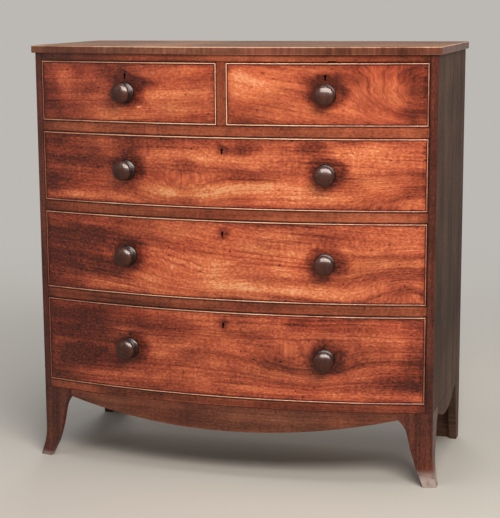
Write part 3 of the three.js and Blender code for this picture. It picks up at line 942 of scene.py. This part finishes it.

# %% [markdown]
# ## Drawers
#
# Each drawer has a veneered front, a cockbead let into a rebate round it, one or two turned knobs and
# a keyhole. The fronts were sawn from figured boards, so no two look alike: the list below says where
# knots, dark patches of old polish and light places are on each, judged from the photograph.
# A front could have its rebate cut away. Here its face is inset and the field pulled forwards, which
# leaves the rebate round it, and only the keyhole is cut with a tool.

# %% What each drawer front looks like
# places and sizes in cm: a knot is (x, z, width, height, push), and a mark is (x, z, width, height,
# strength), where a strength below zero is darker
CM = 0.01
DRAWERS = {
    "drawer_top_left": dict(
        seed=31, slope=-0.03, tone=0.58, contrast=0.9,
        knots=(),
        marks=((-27, 98, 8, 4, -0.24), (-19, 95.7, 6, 1.8, -0.28), (-46, 93, 5, 10, -0.22),
               (-41, 98, 3, 2, 0.12), (-36, 94, 6, 3, -0.12), (-40, 88.5, 12, 3, -0.18),
               (-10, 94, 16, 7, 0.16), (-25, 88, 16, 2.5, 0.2), (-12, 89, 7, 3, 0.1),
               (-20.8, 90, 0.9, 0.25, 0.6), (-38, 98, 5, 3, -0.16), (-45, 89, 5, 3.5, -0.15))),
    "drawer_top_right": dict(
        seed=44, slope=0.2, tone=0.6, contrast=0.8,
        knots=((45, 93, 17, 10, 13),),
        marks=((7, 96.5, 14, 6, 0.22), (30, 98, 7, 3, -0.12), (21, 95.5, 5, 5, -0.16),
               (46, 95, 7, 10, -0.32), (5, 88.5, 8, 3, -0.1), (20, 89.5, 20, 2.5, 0.1),
               (30, 93.4, 8, 3, 0.1), (42, 98.5, 8, 3.5, -0.18), (4, 98.5, 4, 2, 0.12),
               (44, 89, 5, 3.5, -0.15))),
    "drawer_second": dict(
        seed=58, slope=0.02, tone=0.61, contrast=1.08,
        knots=((-10, 70, 16, 6, 2.8), (46, 69, 18, 8, -5)),
        marks=((-24, 81, 8, 4.5, -0.3), (-40, 78, 16, 9, -0.27), (-15, 82, 7, 3, -0.24),
               (-47, 71, 4, 7, -0.18), (5, 80.5, 6, 2.5, -0.3), (7, 73.5, 7, 2.5, -0.14),
               (-9, 76.5, 4, 3, -0.14), (-33, 69, 14, 2.5, 0.16), (-5, 79, 12, 3, 0.12),
               (-3, 71, 20, 3.5, 0.11), (12, 71, 16, 5, 0.13), (22, 81, 6, 2.8, -0.3),
               (39, 80, 8, 3, 0.12), (46, 73, 5, 6, -0.16), (-45, 81, 5, 3.5, -0.16),
               (-30, 75, 7, 4, -0.14), (-44, 71, 6, 5, -0.22), (-16, 69.5, 8, 3, 0.22),
               (-21, 76.8, 5, 3, 0.16), (36, 72, 7, 3.5, 0.12), (28, 69, 14, 2.5, 0.1))),
    "drawer_third": dict(
        seed=73, slope=0.08, tone=0.62, contrast=1.1,
        knots=((46, 49, 20, 10, -6.5), (-8, 49, 18, 7, 2.2)),
        marks=((-42, 55, 17, 13, -0.39), (-25, 59, 14, 6, -0.24), (-47, 47, 6, 5, -0.2),
               (-30, 50, 10, 4, -0.16), (-5, 51, 22, 7, 0.2), (4, 47, 20, 3, 0.14),
               (24, 47, 12, 3.5, 0.2), (28, 60, 7, 2.5, -0.16), (10, 60, 12, 3, 0.1),
               (40, 52, 12, 5, -0.08), (-21, 56, 5, 3, 0.16), (-22, 51, 4, 3, -0.1),
               (14, 52, 8, 4, 0.1), (-9, 47, 5, 3, 0.12), (15, 47, 5, 2.5, 0.1),
               (27, 56.5, 5, 3, 0.16), (-40, 47.5, 8, 2.5, -0.12), (45, 47, 5, 3, -0.14))),
    "drawer_bottom": dict(
        seed=92, slope=0.0, tone=0.588, contrast=1.08,
        knots=((20, 29, 20, 7, 4),),
        marks=((-42, 34, 17, 12, -0.41), (-28, 38, 18, 5, -0.22), (-34, 27.5, 17, 5, -0.4),
               (-46, 23, 8, 5, -0.3), (-14, 37, 12, 5, -0.16), (-9, 30, 6, 3.5, -0.12),
               (-22, 22.5, 16, 3, -0.04), (18, 39, 4, 2, -0.24), (12, 29, 16, 4, -0.16),
               (40, 39, 12, 3, 0.18), (38, 25, 14, 6, -0.16), (46, 30, 5, 10, -0.24),
               (45, 38.5, 5, 3, -0.16), (-30, 33, 7, 3.5, -0.2), (-9, 33.5, 4, 3, 0.1),
               (28, 33.5, 6, 3.5, 0.16), (-38, 28.5, 4, 3, 0.12), (-12, 23.5, 6, 3, -0.12),
               (-14, 38, 7, 3, -0.1), (44, 23.5, 6, 3, -0.12))),
}
print("marks on the fronts:", sum(len(facts["marks"]) for facts in DRAWERS.values()))


# %% Where a keyhole is, and how large
KEY_DROP = 30 * MM  # below the top of the front
KEY_RADIUS = 3.2 * MM
KEY_WIDE = 3.8 * MM
KEY_TALL = 10 * MM  # from the middle of the round hole to the slot's end
THROUGH = 40 * MM  # the tools reach this far past the face, on both sides of it


def keyhole_place(low, high):
    """A keyhole is in the middle of its front, near the top."""
    return (low.x + high.x) / 2, high.z - KEY_DROP


def cut_keyhole(board, x, z):
    """Cuts a round hole with a slot under it, right through a front."""
    lying = Matrix.Translation((x, 0, z)) @ Matrix.Rotation(math.pi / 2, 4, "X")
    hole = bmesh.new()
    bmesh.ops.create_cone(hole, cap_ends=True, segments=24, radius1=KEY_RADIUS,
                          radius2=KEY_RADIUS, depth=2 * THROUGH, matrix=lying)
    slot = block((x - KEY_WIDE / 2, -THROUGH, z - KEY_TALL), (x + KEY_WIDE / 2, THROUGH, z))
    return take_away(take_away(board, hole), slot)


# %% Where the knobs are
KNOB_ACROSS = 246 * MM


def knobs_of(drawer):
    """The drawer's knobs, each with the x and z of its middle."""
    places = {}
    for node in sorted(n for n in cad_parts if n.startswith(drawer + "_knob")):
        low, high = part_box(node)
        places[node] = (math.copysign(KNOB_ACROSS, low.x), (low.z + high.z) / 2)
    return places


print("knobs:", {name: len(knobs_of(name)) for name in DRAWERS})


# %% Veneer of a drawer front
def veneer(name, low, high, facts):
    """Figured mahogany, dirt round the knobs and keyhole and along the beads, painted shade beside the
    beads.
    """
    middle, half = (low + high) / 2, (high - low) / 2
    key_x, key_z = keyhole_place(low, high)

    def shade(f):
        value = 0
        for *patch, strength in facts["marks"]:
            value = f.spot(*(v * CM for v in patch)).step(0, 0.8) * strength + value
        for x, z in knobs_of(name).values():
            value = value - f.spot(x + 6 * MM, z + 4 * MM, 66 * MM, 56 * MM).step(0.05, 0.6) * 0.4
        value = value - f.spot(key_x, key_z, 22 * MM, 24 * MM).step(0.1, 0.9) * 0.3
        edge = (half.x - (f.x - middle.x).size()).least(half.z - (f.z - middle.z).size())
        grime = f.noise(f.x * 30, 3, f.z * 30, 3).step(0.2, 0.8)
        # painted shade: a dark line on the veneer just inside the bead, where the quirk beside it lies
        # in shade
        painted_quirk_shade = edge.step(6.4 * MM, 4 * MM) * 0.42
        return value - edge.step(18 * MM, 4 * MM) * grime * 0.24 - painted_quirk_shade
    return mahogany(name + "_veneer", DRAWER_COLOURS, facts["seed"], wander=0.05,
                    slope=facts["slope"], tone=facts["tone"], contrast=facts["contrast"],
                    knots=[[v * CM for v in knot] for knot in facts["knots"]], shade=shade)


front_core = mahogany("front_core", CASE_COLOURS, 5, streak=6 * MM, mottle=0.1, rough=0.55,
                      coat=0.0)
# painted shade: the keyhole's walls are near black, as the inside of the hole is in shade
painted_keyhole_shade = Finish("keyhole_painted_shade")
painted_keyhole_shade.set(Base_Color=tint(16, 10, 8), Roughness=0.9)
print("wood behind the veneer:", front_core.material.name)

# %% The board of a front, still flat
BEAD = 3.2 * MM
BEAD_PROUD = 2 * MM
BEAD_SUNK = 4 * MM
FRONT_LAP = 12 * MM  # thickness where a front laps its sides; between them it is twice as thick
SIDE_WALL = 10 * MM


def front_board(low, high):
    """A board with a raised field inside a rebate, and a thick middle between the drawer sides."""
    board = block((low.x, BEAD_SUNK, low.z), (high.x, FRONT_LAP, high.z))
    face = min(board.faces, key=lambda f: f.calc_center_median().y)
    bmesh.ops.inset_region(board, faces=[face], thickness=BEAD, use_even_offset=True)
    pull_out(board, [face], (0, -BEAD_SUNK, 0))
    cut(board, low.x + SIDE_WALL)
    cut(board, high.x - SIDE_WALL)
    middle = (low.x + high.x) / 2
    behind = min((f for f in board.faces if f.calc_center_median().y > FRONT_LAP - 1 * MM),
                 key=lambda f: abs(f.calc_center_median().x - middle))
    pull_out(board, [behind], (0, FRONT_LAP, 0))
    return board


# %% Fronts
for name, facts in DRAWERS.items():
    low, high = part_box(name + "_front")
    key_x, key_z = keyhole_place(low, high)
    shape = cut_keyhole(front_board(low, high), key_x, key_z)
    slice_across(shape, low.x, high.x)
    laps = [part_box(name + side)[0].y for side in ("_side_left", "_side_right")]
    for v in shape.verts:
        x, deep = v.co.x, v.co.y
        to_end = min(x - low.x, high.x - x)
        at_lap = abs(deep - FRONT_LAP) < 0.1 * MM and to_end < SIDE_WALL + 0.1 * MM
        v.co.y = laps[x > key_x] if at_lap else bow(x, deep)
    for f in shape.faces:
        c = f.calc_center_median()
        on_face = abs(c.y - bow(c.x)) < 0.3 * MM
        on_rear = c.y > bow(c.x, 2 * FRONT_LAP - 1 * MM)
        in_hole = (abs(c.x - key_x) < KEY_RADIUS
                   and -KEY_TALL - 0.1 * MM < c.z - key_z < KEY_RADIUS)
        f.material_index = 0 if on_face else 2 if in_hole and not on_rear else 1
    piece(name + "_veneered_front", shape, name,
          [veneer(name, low, high, facts), front_core, painted_keyhole_shade], [name + "_front"])
print("drawer fronts:", len(DRAWERS), "each", round(2 * FRONT_LAP / MM), "mm thick")

# %% [markdown]
# ## Cockbeads
#
# A cockbead is a thin strip with a round nose, glued round the drawer to save the veneer's edges. It
# meets itself in mitres. A curve with a round section could follow the drawer's edge, but insetting
# one face gives four strips with their mitres at once. The strips are given depth, their two front
# edges are bevelled into a half round, and the frame is bent.

# %% Bead finish
def bead_shade(f):
    """The bead's nose is pale from wear and a painted highlight, in long patches, most near the
    middle; flanks are dark.
    """
    painted_crest_highlight = f.depth.step(-1.4 * MM, -1.9 * MM)
    middle = f.x.size().step(0.45, 0.1) * 0.26
    return (f.noise(f.x * 16, 4, f.z * 16, 3) - 0.5) * 0.5 + painted_crest_highlight * (middle + 0.5)


def upright_shade(f):
    """The upright strips near the middle of the chest are paler than the outer ones."""
    return bead_shade(f) + f.x.size().step(0.3, 0.1) * 0.16


# the palest colours are the painted highlight on the bead's round nose
BEAD_COLOURS = ((40, 16, 10), (84, 38, 25), (132, 74, 53), (182, 120, 94), (222, 160, 128),
                (255, 206, 170))
bead_wood = mahogany("bead_mahogany", BEAD_COLOURS, 61, streak=2 * MM, contrast=0.5, mottle=0.1,
                     shade=bead_shade, tone=0.26, rough=0.34, shine=0.12)
# a darker copy for the upright strips: painted shade, as they face sideways and catch less of the
# light from above
shaded_upright_bead = mahogany("shaded_upright_bead", BEAD_COLOURS, 62, "zx", streak=2 * MM, contrast=0.5,
                        mottle=0.1, shade=upright_shade, tone=0.09, rough=0.34, shine=0.12)
print("finishes of the beads:", bead_wood.material.name, "and", shaded_upright_bead.material.name)

# %% Bead frames
BEAD_ROUND = 1.45 * MM
for name in DRAWERS:
    low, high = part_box(name + "_bead")
    shape = bmesh.new()
    bmesh.ops.create_grid(shape, x_segments=1, y_segments=1, size=0.5)
    bmesh.ops.rotate(shape, verts=shape.verts, matrix=Matrix.Rotation(math.pi / 2, 3, "X"))
    bmesh.ops.scale(shape, vec=(high.x - low.x, 1, high.z - low.z), verts=shape.verts)
    bmesh.ops.translate(shape, verts=shape.verts,
                        vec=((low.x + high.x) / 2, BEAD_SUNK, (low.z + high.z) / 2))
    field = shape.faces[:]
    bmesh.ops.inset_region(shape, faces=field, thickness=BEAD, use_boundary=True,
                           use_even_offset=True)
    bmesh.ops.delete(shape, geom=field, context="FACES")
    front = pull_out(shape, shape.faces[:], (0, -BEAD_SUNK - BEAD_PROUD, 0), keep=True)
    bmesh.ops.recalc_face_normals(shape, faces=shape.faces)
    nose = [e for e in shape.edges if all(v in front for v in e.verts)
            and len(e.link_faces) == 2 and e.calc_face_angle() > 0.5]
    bmesh.ops.bevel(shape, geom=nose, offset=BEAD_ROUND, segments=4, profile=0.5, affect="EDGES",
                    material=-1)
    slice_across(shape, low.x, high.x)
    for f in shape.faces:
        c = f.calc_center_median()
        to_side = min(c.x - low.x, high.x - c.x)
        to_edge = min(c.z - low.z, high.z - c.z)
        # the upright strips take the darker, shaded copy
        f.material_index = int(to_side < to_edge and to_side < BEAD)
    bend(shape)
    piece(name + "_cockbead", shape, name, [bead_wood, shaded_upright_bead], [name + "_bead"])
print("a bead is", round(BEAD / MM, 1), "mm wide and stands", round(BEAD_PROUD / MM, 1), "mm proud")

# %% [markdown]
# ## Knobs
#
# Each knob has a broad collar, a narrow neck and a low dome. It could be pressed out of a sphere, but
# the real one was turned on a lathe, so this one is made the same way: half the outline is drawn and
# spun round its axis, which stands square to the bow. The neck is black with dirt, and hands have
# kept the dome and the collar's rim polished.

# %% Knob finish
def knob_shade(f):
    """Black dirt towards the drawer."""
    return f.depth.step(-24 * MM, -9 * MM) * -0.35


KNOB_COLOURS = ((18, 8, 5), (40, 18, 12), (64, 32, 22), (88, 48, 34), (112, 72, 56), (136, 98, 82))
knob_wood = mahogany("knob_mahogany", KNOB_COLOURS, 77, "zx", streak=3 * MM, contrast=0.5,
                     mottle=0.1, shade=knob_shade, tone=0.5, rough=0.34, shine=0.13)
dome = knob_wood.depth.step(-17 * MM, -22 * MM)
collar = knob_wood.depth.step(-11 * MM, -8 * MM) * (knob_wood.x.step(0.1, -0.1) * 0.4 + 0.16)
knob_wood.set(Coat_Weight=(dome + collar) * 0.27)
print("the knobs' finish has", len(knob_wood.tree.nodes), "nodes")

# %% Knobs
# (radius, height above the drawer) in mm, from the collar to the tip
KNOB_OUTLINE = ((22.4, 0.3), (24.6, 0.9), (25.7, 2.3), (26.0, 4.2), (25.7, 5.9), (24.5, 7.4),
                (22.0, 8.8), (19.0, 9.9), (17.2, 11.2), (16.5, 13.2), (16.9, 15.8), (18.4, 18.1),
                (20.6, 20.2), (22.6, 22.2), (23.9, 24.3), (24.3, 26.3), (24.0, 28.4), (23.0, 30.4),
                (21.2, 32.3), (18.6, 34.1), (15.0, 35.65), (10.6, 36.8), (5.6, 37.4), (0, 37.6))
KNOB_SIDES = 56


def knob(x, z):
    """Half the outline, spun round an axis that stands square to the bow."""
    bm = bmesh.new()
    outline = [bm.verts.new((r * MM, -h * MM, 0)) for r, h in ((0, 0.3), *KNOB_OUTLINE)]
    edges = [bm.edges.new(pair) for pair in zip(outline, outline[1:])]
    bmesh.ops.spin(bm, geom=outline + edges, cent=(0, 0, 0), axis=(0, 1, 0), angle=math.tau,
                   steps=KNOB_SIDES, use_merge=True)
    bmesh.ops.remove_doubles(bm, verts=bm.verts, dist=0.01 * MM)
    lean = math.asin(x / bow_radius)
    bmesh.ops.rotate(bm, verts=bm.verts, matrix=Matrix.Rotation(lean, 3, "Z"))
    bmesh.ops.translate(bm, verts=bm.verts, vec=(x, bow(x), z))
    return bm


for name in DRAWERS:
    for node, (x, z) in knobs_of(name).items():
        piece(node + "_turned", knob(x, z), name, [knob_wood], [node], smooth=50)
print("a knob is", 2 * max(r for r, h in KNOB_OUTLINE), "mm across, with", KNOB_SIDES, "sides")

# %% Only the turned and rounded pieces show the broad lamp
# it would whiten the flat polished top when that is seen from behind
glinting = bpy.data.collections.new("glinting")
for made in made_pieces:
    if "knob" in made.name or "cockbead" in made.name:
        glinting.objects.link(made)
glint_lamp.light_linking.receiver_collection = glinting

# %% [markdown]
# ## Linings, dust boards and back boards
#
# Behind the fronts all is plain: oak drawer linings and pine boards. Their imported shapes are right,
# so each is copied, its triangles are merged into whole faces, and its arrises are softened as a
# plane leaves them. The dovetails in the drawer sides could be cut as shapes, but in a tight joint
# only the change of wood shows, so they are drawn in the finish. The back is new: seven upright
# boards with open joints, nailed to the case.

# %% Dovetails in a drawer side
PIN_PITCH = 26 * MM
PIN_SLANT = 0.3
DRAWER_BACK = 9 * MM


def dovetailed(name, low, high, seed):
    """Oak whose two ends show the pins of the drawer's front and back."""
    pitch = (high.z - low.z) / round((high.z - low.z) / PIN_PITCH)

    def joints(f, colour):
        from_pin = (f.z - low.z).sum("PINGPONG", pitch / 2)
        for deep, room, end_grain in ((f.y - low.y, FRONT_LAP, (98, 56, 36)),
                                      (high.y - f.y, DRAWER_BACK, (104, 76, 48))):
            edge = from_pin - deep * PIN_SLANT - 2 * MM
            inside = deep.step(room + 0.3 * MM, room)
            line = edge.size().step(0.7 * MM, 0.2 * MM) * inside
            line = line.most((deep - room).size().step(0.7 * MM, 0.2 * MM))
            colour = f.blend(edge.step(0.2 * MM, -0.2 * MM) * inside, colour, tint(*end_grain))
            colour = f.blend(line * 0.8, colour, tint(34, 24, 16))
        return colour
    return plain_wood(name, OAK_COLOURS, seed, "y", 4 * MM, 0.8, 0.62, joints)


# %% Soften a packed board
def softened(name, body, finish, arris=0.6 * MM):
    """A copy of a packed board with whole faces and soft arrises."""
    bm = bmesh.new()
    bm.from_mesh(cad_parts[name].data)
    bmesh.ops.remove_doubles(bm, verts=bm.verts, dist=0.01 * MM)
    bmesh.ops.dissolve_limit(bm, angle_limit=math.radians(0.5), verts=bm.verts, edges=bm.edges)
    piece(name + "_board", bm, body, [finish], [name], arris=arris)


made_before = len(made_pieces)
for i, name in enumerate(DRAWERS):
    for side in ("_side_left", "_side_right"):
        low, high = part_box(name + side)
        softened(name + side, name, dovetailed(name + side + "_oak", low, high, 5 + i))
    softened(name + "_back", name, oak_across, 0.8 * MM)
    softened(name + "_bottom", name, oak_across, 0.4 * MM)
for name in ("case_bottom", "partition", "dust_board_upper", "dust_board_middle",
             "dust_board_lower"):
    softened(name, "case", pine)
print("packed boards softened:", len(made_pieces) - made_before)


# %% Back boards and their nails
def merge(bm, other, number):
    """Adds another shape to this one, with the number of its material."""
    for f in other.faces:
        f.material_index = number
    carrier = bpy.data.meshes.new("carrier")
    other.to_mesh(carrier)
    other.free()
    bm.from_mesh(carrier)
    bpy.data.meshes.remove(carrier)


BOARD_SHARES = (1.05, 0.92, 1.1, 0.97, 1.0, 1.08, 0.88)
BOARD_GAP = 1.2 * MM
NAIL_HEIGHT = 0.5 * MM
NAIL_ROWS = (0.188, 0.436, 0.658, 0.856, 1.017)


def nail_head(x, z):
    """A flat round head on the back boards."""
    place = Matrix.Translation((x, back_high.y - NAIL_HEIGHT / 2, z))
    head = bmesh.new()
    bmesh.ops.create_cone(head, cap_ends=True, segments=14, radius1=2.4 * MM, radius2=3.2 * MM,
                          depth=NAIL_HEIGHT, matrix=place @ Matrix.Rotation(math.pi / 2, 4, "X"))
    return head


# %% Back
back = bmesh.new()
left_edge = back_low.x
for i, share in enumerate(BOARD_SHARES):
    wide = (back_high.x - back_low.x) * share / sum(BOARD_SHARES)
    board = block((left_edge + BOARD_GAP / 2, back_low.y, back_low.z),
                  (left_edge + wide - BOARD_GAP / 2, back_high.y - NAIL_HEIGHT, back_high.z))
    merge(back, board, i % len(pine_backs))
    for row in NAIL_ROWS:
        for at in (0.2, 0.8):
            uneven = 2 * MM * math.sin(7 * i + 5 * at)
            merge(back, nail_head(left_edge + wide * at, row + uneven), len(pine_backs))
    left_edge += wide
piece("back_boards", back, "case", [*pine_backs, iron], ["back"], arris=0.15 * MM)
print("back boards:", len(BOARD_SHARES), "with", 2 * len(BOARD_SHARES) * len(NAIL_ROWS), "nails")

# %% [markdown]
# ## Pieces
#
# The last step counts the new pieces and the packed ones that they stand for. The dressed chest must
# not be larger than the imported one.

# %% Count the pieces, and finish
print("pieces made:", len(made_pieces), "for", len(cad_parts), "packed ones")
